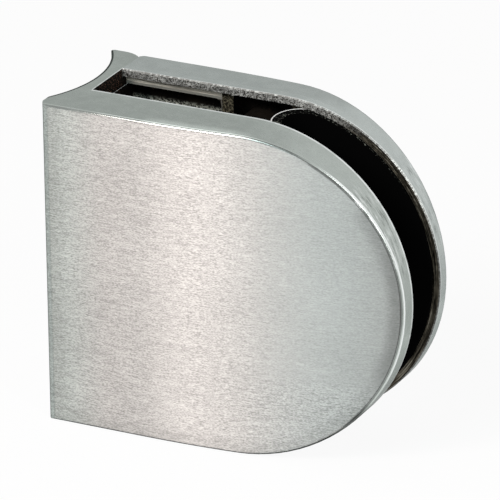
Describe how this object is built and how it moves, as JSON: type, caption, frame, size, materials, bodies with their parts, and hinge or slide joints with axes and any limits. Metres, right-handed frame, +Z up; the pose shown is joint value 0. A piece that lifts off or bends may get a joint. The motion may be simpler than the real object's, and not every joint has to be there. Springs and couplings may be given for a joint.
{
  "type": "glass panel clamp",
  "caption": "Half-round nosed clamp that holds the edge of a glass panel to a round post, with a screwed rear cover and a rubber gasket in its slot.",
  "frame": {"origin": "on the post's surface, at the centre of the hole for the post bolt", "axes": "+X from the post to the nose in the plane of the glass, +Y from the front shell to the rear cover, +Z up along the post"},
  "size_m": [0.0619, 0.0262, 0.055],
  "materials": {
    "body_metal": "cast metal with a fine horizontal satin brush, bare rough casting inside",
    "cover_metal": "cast metal with a fine horizontal satin brush, bare rough casting inside",
    "gasket_rubber": "matt black moulded rubber",
    "screw_steel": "plain machined stainless steel"
  },
  "bodies": {
    "clamp": {"clamp_body": "body_metal", "glass_gasket": "gasket_rubber"},
    "cover": {"rear_cover": "cover_metal"},
    "upper_screw": {"upper_cover_screw": "screw_steel"},
    "lower_screw": {"lower_cover_screw": "screw_steel"}
  },
  "joints": [
    {"name": "cover_slide", "type": "slide", "parent": "clamp", "child": "cover", "axis": [0, 1, 0], "range_m": [0, 0.01]},
    {"name": "upper_screw_turn", "type": "hinge", "parent": "cover", "child": "upper_screw", "pos_m": [0.0267, 0, 0.0185], "axis": [0, 1, 0], "range_deg": [0, 3600]},
    {"name": "lower_screw_turn", "type": "hinge", "parent": "cover", "child": "lower_screw", "pos_m": [0.0267, 0, -0.0185], "axis": [0, 1, 0], "range_deg": [0, 3600]}
  ],
  "couplings": [
    {"joint": "upper_screw_turn", "follows": "cover_slide", "rad_per_m": 6283.2},
    {"joint": "lower_screw_turn", "follows": "cover_slide", "rad_per_m": 6283.2}
  ]
}
